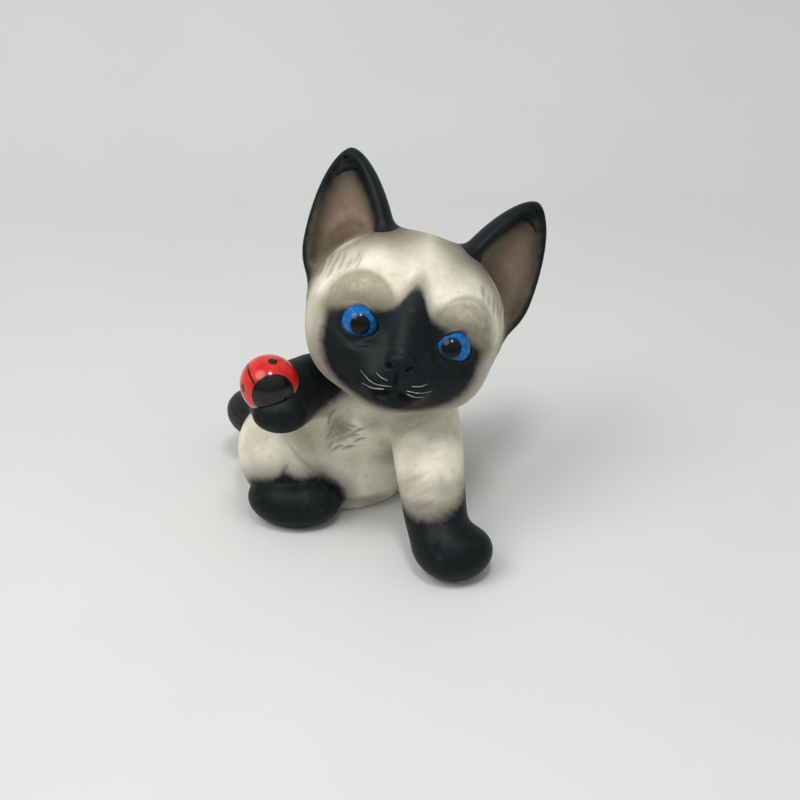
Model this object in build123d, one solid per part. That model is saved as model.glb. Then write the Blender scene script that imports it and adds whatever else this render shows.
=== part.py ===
"""Hollow slip-cast ceramic kitten, seated, with a planted foreleg, a raised foreleg and a ladybug on its paw.

Millimetres and degrees. +Z is up, -Y is the display front, and the origin is the table point under
the middle of the figure. Every piece is one casting or one pressed or beaded part, and the pieces
meet face to face at the seams where they are luted together.
"""
from build123d import *
import os
from math import cos, radians, sin, sqrt

# ---------------------------------------------------------------- clay and holes
WALL = 3.0              # wall of the slip-cast shells
BASE_VENT = 6.0         # diameter of the vent hole under the seat
SEAM_VENT = 4.0         # diameter of the holes pierced between two hollow castings
NECK_VENT = 9.0         # diameter of the opening between the torso and the head
GROUND_DEPTH = 60.0     # how far the trimming block reaches below the table

# ---------------------------------------------------------------- torso, a stack of ovals
BODY_AT = (-8.0, 14.0)  # where the body's frame stands: its +X is the kitten's left, its -Y forward
BODY_TURN = 28.0        # how far the body is turned from the display front
TORSO_WIDTH, TORSO_LENGTH, TORSO_HEIGHT = 41.6, 40.0, 48.0
# shares of the torso's height, then of its width and length:
# (height, sideways centre, lengthways centre, sideways radius, lengthways radius)
TORSO_PROFILE = [
    (0.00, -0.085, 0.010, 0.475, 0.465),
    (0.06, -0.085, 0.005, 0.500, 0.490),
    (0.21, -0.070, 0.005, 0.490, 0.500),
    (0.42, -0.025, -0.060, 0.455, 0.470),
    (0.63, 0.025, -0.185, 0.410, 0.410),
    (0.79, 0.050, -0.265, 0.355, 0.335),
    (0.92, 0.060, -0.300, 0.275, 0.260),
    (1.00, 0.067, -0.315, 0.170, 0.160),
]
TORSO_OVALS = [
    (z * TORSO_HEIGHT, x * TORSO_WIDTH, y * TORSO_LENGTH, a * TORSO_WIDTH, b * TORSO_LENGTH)
    for z, x, y, a, b in TORSO_PROFILE
]

# ---------------------------------------------------------------- hind legs, in the body's frame
HAUNCH_WIDTH, HAUNCH_LENGTH, HAUNCH_HEIGHT = 23.0, 29.0, 28.0
HAUNCH_RISE = 12.5      # height of a haunch's middle
HAUNCH_FORWARD = {"right": 0.9, "left": -1.0}
HAUNCH_PROUD = 9.7      # how far a haunch stands out from the torso's side
HIND_PAW_WIDTH, HIND_PAW_LENGTH, HIND_PAW_HEIGHT = 18.0, 24.0, 14.0
HIND_PAW_SOLE = 1.2     # how much of a hind paw is flattened by the table
HIND_PAW_OUT = {"right": 3.6, "left": 0.0}      # from its haunch's middle, sideways
HIND_PAW_REACH = {"right": 10.5, "left": 10.0}  # from its haunch's middle, forward
HIND_PAW_TURN = {"right": 52.0, "left": 0.0}    # the right paw is tucked inward

# ---------------------------------------------------------------- forelegs
PLANTED_ROOT = (9.4, -18.6)                     # body's frame
SHOULDER_RISE = 0.67                            # the forelegs' roots, as a share of the torso's height
PLANTED_BENDS = [(10.5, -11.0, 24.0), (12.2, -22.5, 13.8), (15.0, -30.0, 7.2)]
PLANTED_RADII = [8.5, 8.7, 7.8, 5.6]
PLANTED_PAW_AT = (17.2, -31.0)
PLANTED_PAW_WIDTH, PLANTED_PAW_LENGTH, PLANTED_PAW_HEIGHT = 18.4, 15.6, 13.6
PLANTED_PAW_TURN = 20.0
PLANTED_SOLE = 0.5      # how much of the planted paw is flattened by the table
RAISED_ROOT = (-5.3, -14.2)                     # body's frame
RAISED_BENDS = [(-15.0, -4.0, 37.0), (-22.8, -10.8, 37.6)]
RAISED_RADII = [8.5, 8.2, 6.3]
RAISED_LIFT = 2.0                               # how much higher the raised foreleg's root is
RAISED_PAW_AT = (-24.5, -13.0, 37.3)
RAISED_PAW_RADII = (8.2, 8.0, 7.4)

# ---------------------------------------------------------------- tail
TAIL_ROOT = (-0.9, 15.5, 7.0)                   # body's frame
TAIL_BENDS = [(-29.0, 31.0, 6.5), (-35.5, 27.0, 9.0), (-37.5, 20.0, 16.0), (-33.5, 14.0, 23.0)]
TAIL_RADII = [6.5, 6.2, 5.6, 4.9, 3.4]
TAIL_TIP_RADIUS = 4.0

# ---------------------------------------------------------------- head, in its own frame, face to -Y
HEAD_FROM_NECK = (-0.2, -8.7, 3.0)  # body's frame, from the torso's top oval to the head's middle
HEAD_PITCH, HEAD_ROLL = 26.0, 16.0  # face lifted, crown leant towards the kitten's left
HEAD_YAW = 3.5                      # face turned a little towards the kitten's left
SKULL_WIDTH, SKULL_DEPTH, SKULL_HEIGHT = 48.0, 42.0, 40.4
SKULL_BACK, SKULL_UP = 2.0, 4.5     # the skull's middle from the head's middle
CHEEK_AT, CHEEK_RADII = (8.8, -5.5, -6.0), (12.8, 12.6, 11.2)
MUZZLE_AT, MUZZLE_RADII = (0.0, -12.0, -9.8), (10.5, 10.0, 9.0)
NOSE_AT, NOSE_RADII = (0.0, -20.2, -5.6), (3.0, 2.8, 2.4)
HEAD_WALL = 4.5                     # the head's wall, thicker to carry the eye beads
EYE_DIAMETER = 9.0
EYE_SPREAD, EYE_UP = 11.0, 0.2
EYE_BULGE = 2.6                     # how far an eye bead stands out of the skull
EYE_DEPTH = 4.2                     # from the bead's front to its flat back

# ---------------------------------------------------------------- ears, in the head's frame
EAR_ROUND = 27.0        # where the ear's root is round the skull, up from the side
EAR_SINK = 0.77         # how far out along the skull's radius the ear's root lies
EAR_LENGTH, EAR_WIDTH, EAR_DEPTH = 29.0, 25.2, 19.2
EAR_WALL = 2.4
EAR_CUP_SHIFT = 4.4     # how far the hollow is set towards the opening
EAR_FACE = 3.0          # how far the opening's plane is in front of the ear's axis
EAR_LEAN, EAR_BACK, EAR_TURN = 14.5, 6.0, 28.0
EAR_STATIONS = [-6.0, 0.0, 5.0, 10.0, 15.0, 20.0, 24.0, 27.0, 28.6]
EAR_HOLLOW_FROM = 1     # the first station of the hollow

# ---------------------------------------------------------------- ladybug
LADYBUG_DIAMETER = 14.0
LADYBUG_SEAT = 7.8      # how far the ladybug's ball is sunk in the paw
LADYBUG_SIDE, LADYBUG_RISE = -150.0, 62.0       # its bearing and elevation from the paw's middle

SIDES = {"right": -1, "left": 1}        # the kitten's own right is towards -X


def body_frame(x=0.0, y=0.0, z=0.0):
    """A place in the body's frame."""
    return Location((*BODY_AT, 0), (0, 0, BODY_TURN)) * Location((x, y, z))


def in_body(x, y, z):
    """The same place as a plain point."""
    return tuple(body_frame(x, y, z).position)


def egg(across, along, up):
    """An ellipsoid from its three radii, in two halves joined on its middle plane."""
    half = scale(Sphere(1, arc_size3=180, align=None), by=(across, along, up))
    return half + Rot(Z=180) * half


def below(height):
    """Everything under a height; at zero it is the table, which flattens the soles and the seat."""
    size = 4 * GROUND_DEPTH
    return Pos(0, 0, height - GROUND_DEPTH / 2) * Box(size, size, GROUND_DEPTH)


def limb(points, radii):
    """A round limb: circles square to a spline through the points, evenly spaced along it, lofted."""
    route = Spline(*points)
    steps = [i / (len(radii) - 1) for i in range(len(radii))]
    rings = [Plane(route @ t, z_dir=route % t) * Circle(r) for t, r in zip(steps, radii)]
    return loft(rings)


def seam_hole(start, end, diameter):
    """A round hole pierced from one cavity to the next."""
    route = Line(start, end)
    return extrude(Plane(route @ 0, z_dir=route % 0) * Circle(diameter / 2), route.length)


def torso_stack(inset, floor):
    """The torso's ovals drawn in by inset and cut off at floor, as one lofted solid."""
    ovals = [
        body_frame(x, y, z) * Ellipse(side - inset, length - inset)
        for z, x, y, side, length in TORSO_OVALS
    ]
    return loft(ovals) - below(floor)


def torso_side(height):
    """The torso's sideways centre and radius at a height, from the nearest ovals."""
    low = max(o for o in TORSO_OVALS if o[0] <= height)
    high = min(o for o in TORSO_OVALS if o[0] >= height)
    share = (height - low[0]) / (high[0] - low[0]) if high[0] > low[0] else 0.0
    return tuple(low[i] + share * (high[i] - low[i]) for i in (1, 3))


def torso_middle(height):
    """The middle of the torso's oval nearest below a height, as a plain point at that height."""
    oval = max(o for o in TORSO_OVALS if o[0] <= height)
    return in_body(oval[1], oval[2], height)


def haunch_middle(side):
    """The middle of a haunch, in the body's frame."""
    centre, radius = torso_side(HAUNCH_RISE)
    out = radius + HAUNCH_PROUD - HAUNCH_WIDTH / 2
    return centre + SIDES[side] * out, -HAUNCH_FORWARD[side], HAUNCH_RISE


def haunch_form(side, inset=0.0):
    """A thigh as an ellipsoid, drawn in by inset."""
    radii = (HAUNCH_WIDTH / 2, HAUNCH_LENGTH / 2, HAUNCH_HEIGHT / 2)
    form = body_frame(*haunch_middle(side)) * egg(*(r - inset for r in radii))
    return form - below(inset)


def hind_paw_form(side):
    """A hind paw ahead of its haunch, flattened by the table."""
    x, y, _ = haunch_middle(side)
    rise = HIND_PAW_HEIGHT / 2 - HIND_PAW_SOLE
    place = body_frame(x + SIDES[side] * HIND_PAW_OUT[side], y - HIND_PAW_REACH[side], rise)
    paw = egg(HIND_PAW_WIDTH / 2, HIND_PAW_LENGTH / 2, HIND_PAW_HEIGHT / 2)
    return place * Rot(Z=HIND_PAW_TURN[side]) * paw - below(0)


def planted_route():
    """The planted foreleg's line, from the shoulder down to the paw."""
    return [in_body(*PLANTED_ROOT, SHOULDER_RISE * TORSO_HEIGHT), *PLANTED_BENDS]


def planted_form():
    """The planted foreleg with its paw."""
    rise = PLANTED_PAW_HEIGHT / 2 - PLANTED_SOLE
    foot = egg(PLANTED_PAW_WIDTH / 2, PLANTED_PAW_LENGTH / 2, PLANTED_PAW_HEIGHT / 2)
    paw = Pos(*PLANTED_PAW_AT, rise) * Rot(Z=PLANTED_PAW_TURN) * foot
    return limb(planted_route(), PLANTED_RADII) + paw - below(0)


def raised_route():
    """The raised foreleg's line, from the shoulder out to the paw."""
    return [in_body(*RAISED_ROOT, SHOULDER_RISE * TORSO_HEIGHT + RAISED_LIFT), *RAISED_BENDS]


def raised_form():
    """The raised foreleg with its paw."""
    paw = Pos(*RAISED_PAW_AT) * egg(*RAISED_PAW_RADII)
    return limb(raised_route(), RAISED_RADII) + paw


def tail_form():
    """The tail, which leaves the rump, lies round the right haunch and lifts its tip."""
    tip = Pos(*TAIL_BENDS[-1]) * Sphere(TAIL_TIP_RADIUS)
    return limb([in_body(*TAIL_ROOT), *TAIL_BENDS], TAIL_RADII) + tip - below(0)


def head_frame():
    """The head's frame: its +X is the kitten's left, its -Y the way it faces."""
    height, x, y = TORSO_OVALS[-1][:3]
    dx, dy, dz = HEAD_FROM_NECK
    return Pos(*in_body(x + dx, y + dy, height + dz)) * Rot(X=-HEAD_PITCH) * Rot(Y=HEAD_ROLL) * Rot(Z=HEAD_YAW)


def skull_form(inset=0.0):
    """The skull as an ellipsoid, drawn in by inset, in the head's frame."""
    radii = (SKULL_WIDTH / 2, SKULL_DEPTH / 2, SKULL_HEIGHT / 2)
    return Pos(0, SKULL_BACK, SKULL_UP) * egg(*(r - inset for r in radii))


def head_form(inset=0.0):
    """Skull, cheeks and muzzle in one, drawn in by inset, in the head's frame."""
    x, y, z = CHEEK_AT
    cheek = egg(*(r - inset for r in CHEEK_RADII))
    muzzle = Pos(*MUZZLE_AT) * egg(*(r - inset for r in MUZZLE_RADII))
    return skull_form(inset) + [Pos(side * x, y, z) * cheek for side in SIDES.values()] + muzzle


def nose_form():
    """The end of the nose, in the head's frame."""
    return Pos(*NOSE_AT) * egg(*NOSE_RADII)


def eye_form(side):
    """An eye bead: a ball with a flat back, in the head's frame."""
    across = (2 * EYE_SPREAD / SKULL_WIDTH) ** 2 + (2 * (EYE_UP - SKULL_UP) / SKULL_HEIGHT) ** 2
    front = SKULL_BACK - SKULL_DEPTH / 2 * sqrt(1 - across) - EYE_BULGE
    ball = Pos(SIDES[side] * EYE_SPREAD, front + EYE_DIAMETER / 2, EYE_UP) * Sphere(EYE_DIAMETER / 2)
    return split(ball, Plane.XZ.offset(-front - EYE_DEPTH), keep=Keep.TOP)


def ear_fullness(height):
    """The share of the ear's full width at a height: narrower at the root, nothing at the tip."""
    share = height / EAR_LENGTH
    waist = 1 - 0.32 * max(0.25 - share, 0) ** 2 / 0.45 ** 2
    return waist * (1 - max(share, 0) ** 1.6) ** 0.6


def ear_cone(stations, wide, deep, shrink):
    """Ovals up the ear's axis, from half the width and half the depth, lofted to a blunt tip."""
    full = [(z, ear_fullness(z)) for z in stations]
    return loft([Pos(0, 0, z) * Ellipse(wide * f - shrink, deep * f - shrink) for z, f in full])


def ear_form(side):
    """An ear: a pointed cup, hollow towards its opening, in the head's frame."""
    sign = SIDES[side]
    out = EAR_SINK * SKULL_WIDTH / 2 * cos(radians(EAR_ROUND))
    up = SKULL_UP + EAR_SINK * SKULL_HEIGHT / 2 * sin(radians(EAR_ROUND))
    outer = ear_cone(EAR_STATIONS, EAR_WIDTH / 2, EAR_DEPTH / 2, 0.0)
    hollow = ear_cone(EAR_STATIONS[EAR_HOLLOW_FROM:], EAR_WIDTH / 2 - EAR_WALL, EAR_DEPTH / 2, 0.5)
    cup = outer - Pos(0, -EAR_CUP_SHIFT, 0) * hollow
    cup = split(cup, Plane.XZ.offset(EAR_FACE), keep=Keep.BOTTOM)
    place = Pos(sign * out, SKULL_BACK, up)
    return place * Rot(Y=sign * EAR_LEAN) * Rot(X=-EAR_BACK) * Rot(Z=sign * EAR_TURN) * cup


def ladybug_form():
    """The ladybug's ball, sunk in the back of the raised paw."""
    radius = LADYBUG_DIAMETER / 2
    reach = RAISED_PAW_RADII[2] + radius - LADYBUG_SEAT
    bearing, rise = radians(LADYBUG_SIDE), radians(LADYBUG_RISE)
    step = Vector(cos(bearing) * cos(rise), sin(bearing) * cos(rise), sin(rise)) * reach
    return Pos(Vector(*RAISED_PAW_AT) + step) * Sphere(radius)


def vents(head_place):
    """The holes pierced at the seams, from each cavity into the torso's, and the one in the seat."""
    holes = []
    for side in SIDES:
        x, y, z = haunch_middle(side)
        inner = in_body(x - SIDES[side] * 3 * WALL, y, z)
        holes.append(seam_hole(inner, in_body(x + SIDES[side] * 2 * WALL, y, z), SEAM_VENT))
    middle = torso_middle(SHOULDER_RISE * TORSO_HEIGHT - WALL)
    for route in (planted_route(), raised_route()):
        holes.append(seam_hole(middle, route[1], SEAM_VENT))
    skull = (head_place * Pos(0, SKULL_BACK, SKULL_UP)).position
    holes.append(seam_hole(middle, tuple(skull), NECK_VENT))
    seat = body_frame(*TORSO_OVALS[0][1:3]) * Cylinder(BASE_VENT / 2, 4 * WALL)
    return holes, seat


def build():
    """Every piece by name, each cut back to the seams where it meets its neighbours."""
    head_place = head_frame()
    holes, seat = vents(head_place)
    head_solid = head_form() + nose_form()
    head_skin = head_place * head_solid
    torso_skin = torso_stack(0.0, 0.0)
    haunch_skin = {side: haunch_form(side) for side in SIDES}
    raised_skin = raised_form()

    pieces = {"torso": torso_skin - torso_stack(WALL, WALL) - head_skin - holes - seat}
    head = head_place * (head_solid - head_form(HEAD_WALL)) - holes[-1]
    for side in SIDES:
        eye = head_place * eye_form(side)
        head -= eye
        ear = head_place * ear_form(side) - head_skin
        haunch = haunch_skin[side] - haunch_form(side, WALL) - torso_skin
        pieces[f"{side}_eye"] = eye
        pieces[f"{side}_ear"] = ear
        pieces[f"{side}_haunch"] = haunch
        pieces[f"{side}_hind_paw"] = hind_paw_form(side) - haunch_skin[side] - torso_skin
    pieces["head"] = head
    planted_hollow = limb(planted_route(), [r - WALL for r in PLANTED_RADII])
    raised_hollow = limb(raised_route(), [r - WALL for r in RAISED_RADII])
    pieces["planted_foreleg"] = planted_form() - planted_hollow - torso_skin - head_skin
    pieces["raised_foreleg"] = raised_skin - raised_hollow - torso_skin - head_skin
    pieces["ladybug"] = ladybug_form() - raised_skin
    pieces["tail"] = tail_form() - torso_skin - haunch_skin["right"]
    return pieces


def largest_solid(shape):
    """The one solid a piece is, without any sliver its trimming cut loose."""
    return max(shape.solids(), key=lambda solid: solid.volume)


def main():
    os.makedirs("parts", exist_ok=True)
    pieces = {name: largest_solid(shape) for name, shape in build().items()}
    box = Compound(list(pieces.values())).bounding_box()
    centred = Pos(-(box.min.X + box.max.X) / 2, -(box.min.Y + box.max.Y) / 2, -box.min.Z)
    for name, solid in pieces.items():
        export_step(centred * solid, f"parts/{name}.step")


if __name__ == "__main__":
    main()
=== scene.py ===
from math import cos, pi, radians, sin

import bmesh
import bpy
import numpy as np
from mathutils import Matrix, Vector


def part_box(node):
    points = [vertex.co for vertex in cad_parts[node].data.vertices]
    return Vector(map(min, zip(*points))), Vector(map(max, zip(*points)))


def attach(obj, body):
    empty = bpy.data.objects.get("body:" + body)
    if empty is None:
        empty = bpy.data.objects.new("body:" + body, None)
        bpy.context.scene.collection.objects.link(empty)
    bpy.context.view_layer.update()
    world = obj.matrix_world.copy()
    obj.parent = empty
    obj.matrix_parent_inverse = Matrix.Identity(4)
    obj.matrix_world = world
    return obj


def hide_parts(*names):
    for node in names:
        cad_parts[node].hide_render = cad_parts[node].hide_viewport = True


bl_info = {
    "name": "Bisque kitten",
    "version": (1, 0, 0),
    "blender": (4, 5, 0),
    "location": "3D View > Sidebar > Kitten",
    "description": "Builds the painted surfaces of a hollow bisque kitten round its clay pieces",
    "category": "Add Mesh",
}

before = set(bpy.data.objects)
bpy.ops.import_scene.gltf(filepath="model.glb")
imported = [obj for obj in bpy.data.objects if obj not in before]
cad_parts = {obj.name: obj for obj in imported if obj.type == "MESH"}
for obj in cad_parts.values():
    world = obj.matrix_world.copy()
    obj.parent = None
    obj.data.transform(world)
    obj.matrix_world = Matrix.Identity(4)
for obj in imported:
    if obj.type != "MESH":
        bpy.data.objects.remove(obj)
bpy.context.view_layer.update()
MM = 0.001

# All lengths below are millimetres in the clay's own coordinates: +Z up, -Y the display front.
# The whole figure is one closed form, worked out as a distance that is negative in the clay, and each
# piece is the part of its skin that belongs to it.


# ---------------------------------------------------------------- small tools for places and turns
def turn_x(degrees):
    """The matrix of a turn about X."""
    c, s = cos(radians(degrees)), sin(radians(degrees))
    return np.array([[1, 0, 0], [0, c, -s], [0, s, c]])


def turn_y(degrees):
    """The matrix of a turn about Y."""
    c, s = cos(radians(degrees)), sin(radians(degrees))
    return np.array([[c, 0, s], [0, 1, 0], [-s, 0, c]])


def turn_z(degrees):
    """The matrix of a turn about Z."""
    c, s = cos(radians(degrees)), sin(radians(degrees))
    return np.array([[c, -s, 0], [s, c, 0], [0, 0, 1]])


def middle(node):
    """The middle of a clay piece's box, in millimetres of the frame."""
    low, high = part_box(node)
    return (np.array(low) + np.array(high)) / 2 / MM


TORSO_MIDDLE = np.array([-9.136, 12.168, 21.486])   # the torso box's middle in the clay's coordinates
PLACE = middle("torso") - TORSO_MIDDLE               # from the clay's coordinates to the frame's

BODY_TURN = turn_z(28)
BODY_AT = np.array([-8.0, 14.0, 0.0])
HEAD_TURN = turn_x(-26) @ turn_y(16) @ turn_z(3.5)
HEAD_AT = np.array([4.2, -3.5, 51.0])
SIDES = {"right": -1, "left": 1}                     # the kitten's own right is towards -X


def in_body(x, y, z):
    """A place given in the body's frame, whose +X is the kitten's left and -Y forward."""
    return BODY_AT + BODY_TURN @ np.array([x, y, z], float)


def in_head(x, y, z):
    """A place given in the head's frame, whose +X is the kitten's left and -Y the face."""
    return HEAD_AT + HEAD_TURN @ np.array([x, y, z], float)


# ---------------------------------------------------------------- forms as distances
def blend(a, b, width):
    """Union of two distances, rounded where they differ by less than width: min less h^3 width / 6."""
    h = np.maximum(width - np.abs(a - b), 0) / width
    return np.minimum(a, b) - h * h * h * width / 6


def cut(a, b, width):
    """The first form less the second's inside, with the edge rounded over width."""
    return -blend(-a, b, width)


def ellipsoid(p, at, radii, turned=None):
    """Near-distance to an ellipsoid: k (k - 1) / m, with k = |q / r| and m = |q / r^2|."""
    q = p - np.asarray(at, float)
    if turned is not None:
        q = q @ turned
    q = q / np.asarray(radii, float)
    k = np.sqrt((q * q).sum(-1))
    q = q / np.asarray(radii, float)
    return k * (k - 1) / np.maximum(np.sqrt((q * q).sum(-1)), 1e-6)


def smooth_line(points, radii, steps):
    """Points and radii along a Catmull-Rom curve through the given ones."""
    knots = np.column_stack([np.asarray(points, float), np.asarray(radii, float)])
    knots = np.vstack([2 * knots[0] - knots[1], knots, 2 * knots[-1] - knots[-2]])
    t = (np.arange(steps) / steps)[:, None]
    rows = []
    for a, b, c, d in zip(knots[:-3], knots[1:-2], knots[2:-1], knots[3:]):
        square, cube = 2 * a - 5 * b + 4 * c - d, 3 * b - a - 3 * c + d
        rows.append(0.5 * (2 * b + (c - a) * t + square * t**2 + cube * t**3))
    rows = np.vstack(rows + [knots[-2:-1]])
    return rows[:, :3], rows[:, 3]


def rounded_limb(p, points, radii):
    """Distance to a chain of cones with round ends: the least of |p - nearest| less its radius."""
    best = None
    for a, b, ra, rb in zip(points[:-1], points[1:], radii[:-1], radii[1:]):
        ab = b - a
        t = np.clip(((p - a) @ ab) / (ab @ ab), 0, 1)
        d = np.sqrt(((p - a - t[..., None] * ab) ** 2).sum(-1)) - (ra + (rb - ra) * t)
        best = d if best is None else np.minimum(best, d)
    return best


# ---------------------------------------------------------------- torso
TORSO_OVALS = np.array([
    # height, sideways middle, forward middle, half width, half length
    (-2, -3.5, -0.6, 19.0, 17.8),
    (0, -3.5, -0.4, 19.8, 18.6),
    (3, -3.5, -0.2, 20.8, 19.6),
    (10, -3.0, -0.2, 20.4, 20.0),
    (20, -1.0, 2.4, 19.0, 18.8),
    (30, 1.0, 7.4, 17.0, 16.4),
    (38, 2.1, 10.6, 14.8, 13.4),
    (44, 2.5, 12.0, 11.4, 10.4),
    (48, 2.8, 12.6, 7.0, 6.4),
    (50, 2.8, 12.6, 1.0, 1.0),
])
TORSO_TOP = 49.0
FOOT_HEIGHT, FOOT_UNDERCUT = 4.8, 1.5      # under the belly the foot stands back this far, up to this height


def eased(at, knots, values):
    """Values between knots on a cubic with the knots' own slopes."""
    slopes = np.gradient(values, knots)
    i = np.clip(np.searchsorted(knots, at) - 1, 0, len(knots) - 2)
    gap = knots[i + 1] - knots[i]
    t = np.clip((at - knots[i]) / gap, 0, 1)
    rise = (3 - 2 * t) * t * t
    lean = slopes[i] * (t - 1) ** 2 * t + slopes[i + 1] * (t - 1) * t * t
    return values[i] + rise * (values[i + 1] - values[i]) + gap * lean


def torso_form(p):
    """A stack of ovals: how far outside the oval at its height a point is, cut at the table."""
    z = p[..., 2]
    q = (p - BODY_AT) @ BODY_TURN
    x, f, a, b = (np.maximum(eased(z, TORSO_OVALS[:, 0], TORSO_OVALS[:, i]), lowest)
                  for i, lowest in ((1, -99), (2, -99), (3, 0.3), (4, 0.3)))
    out = np.sqrt(((q[..., 0] - x) / a) ** 2 + ((q[..., 1] + f) / b) ** 2)
    d = 0.85 * (out - 1) * np.minimum(a, b)
    front = np.clip((-q[..., 1] - 4) / 6, 0, 1)
    d = d + FOOT_UNDERCUT * front / (1 + np.exp((z - FOOT_HEIGHT) / 0.35))
    d = cut(d, TORSO_TOP - z, 2.0)
    return cut(d, z, 0.8)


# ---------------------------------------------------------------- legs and tail
HAUNCH_AT = {"right": np.array([-25.9, 3.4, 12.5]), "left": in_body(15.8, 1.0, 12.5)}
HAUNCH_RADII = (11.6, 14.5, 14.0)
HIND_PAW_AT = {"right": np.array([-23.0, -7.0, 5.8]), "left": in_body(14.6, -9.0, 5.8)}
HIND_PAW_RADII = {"right": (12.0, 9.0, 7.0), "left": (9.0, 12.0, 7.0)}
HIND_PAW_TURN = {"right": turn_z(-10), "left": BODY_TURN}
HIND_PAW_LONG = {"right": np.array([1.0, 0, 0]), "left": np.array([0, -1.0, 0])}    # each paw's long way
PLANTED = smooth_line([(9.0, 2.0, 32.0), (10.5, -11.0, 24.0), (12.0, -22.0, 14.0), (13.5, -29.0, 8.0)],
                      [8.5, 8.7, 7.8, 7.2], 3)
PLANTED_PAW = ((17.2, -31.0, 6.3), (9.0, 7.6, 6.6), turn_z(20))
RAISED = smooth_line([(-6.0, -1.0, 34.0), (-15.0, -4.0, 37.0), (-23.0, -10.0, 38.0)], [8.5, 8.2, 7.6], 3)
RAISED_PAW = ((-24.5, -13.0, 37.3), (8.0, 7.8, 7.3))
TOE = ((-24.6, -19.2, 37.2), (6.2, 3.8, 4.0))
TAIL = smooth_line([(-18.0, 31.0, 7.0), (-29.0, 31.0, 6.5), (-35.5, 27.0, 9.0), (-37.5, 20.0, 16.0),
                    (-33.5, 14.0, 23.0)], [6.5, 6.0, 5.5, 4.8, 3.8], 4)


def haunch_form(side):
    """A thigh as an ellipsoid standing on the table."""
    return lambda p: cut(ellipsoid(p, HAUNCH_AT[side], HAUNCH_RADII, BODY_TURN), p[..., 2], 1.0)


def hind_paw_form(side):
    """A hind paw as an ellipsoid with a flat sole."""
    where = HIND_PAW_AT[side], HIND_PAW_RADII[side], HIND_PAW_TURN[side]
    return lambda p: cut(ellipsoid(p, *where), p[..., 2], 1.0)


def planted_form(p):
    """The planted foreleg and its paw, with a flat sole."""
    d = blend(rounded_limb(p, *PLANTED), ellipsoid(p, *PLANTED_PAW), 4.0)
    return cut(d, p[..., 2], 1.0)


def raised_form(p):
    """The raised foreleg, its paw and the toe in front."""
    d = blend(rounded_limb(p, *RAISED), ellipsoid(p, *RAISED_PAW), 3.0)
    return blend(d, ellipsoid(p, *TOE), 4.0)


def tail_form(p):
    """The tail, lying on the table."""
    return cut(rounded_limb(p, *TAIL), p[..., 2], 1.0)


# ---------------------------------------------------------------- head and ears, in the head's frame
EYE_AT, EYE_RADIUS = np.array([11.0, -14.4, 0.2]), 4.5
EYE_SWELL, EYE_SWELL_OVER = 0.03, 0.6        # the bead's slight swell in front, and the angle it covers
EYE_CROWDED = 1.4                            # how much the bead's rows crowd towards its front
LID_THICK = 0.35
OPENING_DISC, OPENING_SHIFT = 3.75, 0.95     # the almond's two discs, one shifted up and one down
OPENING_AT = {"right": (-10.2, -0.2), "left": (11.0, 0.5)}      # across and up the face


def mirrored(q):
    """The same places with the kitten's right side folded onto its left."""
    return np.stack([np.abs(q[..., 0]), q[..., 1], q[..., 2]], -1)


def head_form(p):
    """Skull, cheeks, muzzle, pads, chin, nose and brows run together, less the hollows of the eyes."""
    q = (p - HEAD_AT) @ HEAD_TURN
    m = mirrored(q)
    d = ellipsoid(q, (0, 2.0, 4.5), (24.0, 21.0, 20.2))
    d = blend(d, ellipsoid(m, (8.3, -5.5, -5.4), (12.8, 12.4, 10.8)), 8.0)
    d = blend(d, ellipsoid(q, (-13.5, -3.0, 0.5), (8.9, 10.5, 10.0)), 6.0)
    d = blend(d, ellipsoid(q, (0, -8.5, -11.0), (10.0, 9.5, 7.8)), 6.0)
    d = blend(d, ellipsoid(q, (0, -12.0, -8.6), (10.4, 9.8, 7.8)), 7.0)
    d = blend(d, ellipsoid(m, (3.5, -18.0, -11.0), (4.4, 3.8, 3.2)), 2.8)
    d = blend(d, ellipsoid(q, (0, -15.2, -14.6), (5.0, 4.2, 2.9)), 3.4)
    d = blend(d, ellipsoid(q, (0.7, -17.9, -15.6), (2.8, 1.9, 1.2)), 1.5)
    nose = rounded_limb(q, np.array([(0, -16.6, 4.0), (0, -19.2, -2.5), (0, -20.7, -5.4)]), [3.9, 2.9, 2.2])
    d = blend(d, nose, 4.0)
    d = blend(d, ellipsoid(q, (0.1, -21.5, -5.7), (3.0, 1.9, 1.7)), 1.6)
    d = blend(d, ellipsoid(m, (10.6, -12.4, 7.6), (6.6, 5.4, 3.6)), 5.0)
    d = cut(d, ellipsoid(m, (10.8, -20.2, -0.2), (5.2, 3.8, 4.2)), 3.0)
    lid = np.sqrt(((m - EYE_AT) ** 2).sum(-1)) - EYE_RADIUS - LID_THICK
    d = blend(d, lid, 1.2)
    return cut(d, eye_opening(q), 0.3)


def eye_opening(q):
    """The almond between the lids: inside two discs in the face's plane, in front of the eye."""
    across = np.where(q[..., 0] < 0, q[..., 0] - OPENING_AT["right"][0], q[..., 0] - OPENING_AT["left"][0])
    up = np.where(q[..., 0] < 0, q[..., 2] - OPENING_AT["right"][1], q[..., 2] - OPENING_AT["left"][1])
    discs = np.maximum(np.hypot(across, up - OPENING_SHIFT), np.hypot(across, up + OPENING_SHIFT))
    return np.maximum(discs - OPENING_DISC, q[..., 1] - EYE_AT[1] + 0.6)


EAR_AT, EAR_LENGTH = (16.46, 2.0, 11.56), 29.0
EAR_OUTER = (12.6, 9.6)                      # half the width and half the depth of the ear at its fullest
EAR_HOLLOW = (10.2, 10.0)                    # the same for the hollow, before it is drawn in by EAR_DRAWN_IN
EAR_DRAWN_IN, EAR_HOLLOW_SHIFT = 0.5, 4.4    # the hollow is set this far towards the opening
EAR_FACE, EAR_FOOT = 3.0, 6.0                # how far the opening's plane is in front, and the foot below
EAR_TURN = {side: turn_y(14.5 * s) @ turn_x(-6) @ turn_z(28 * s) for side, s in SIDES.items()}


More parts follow.
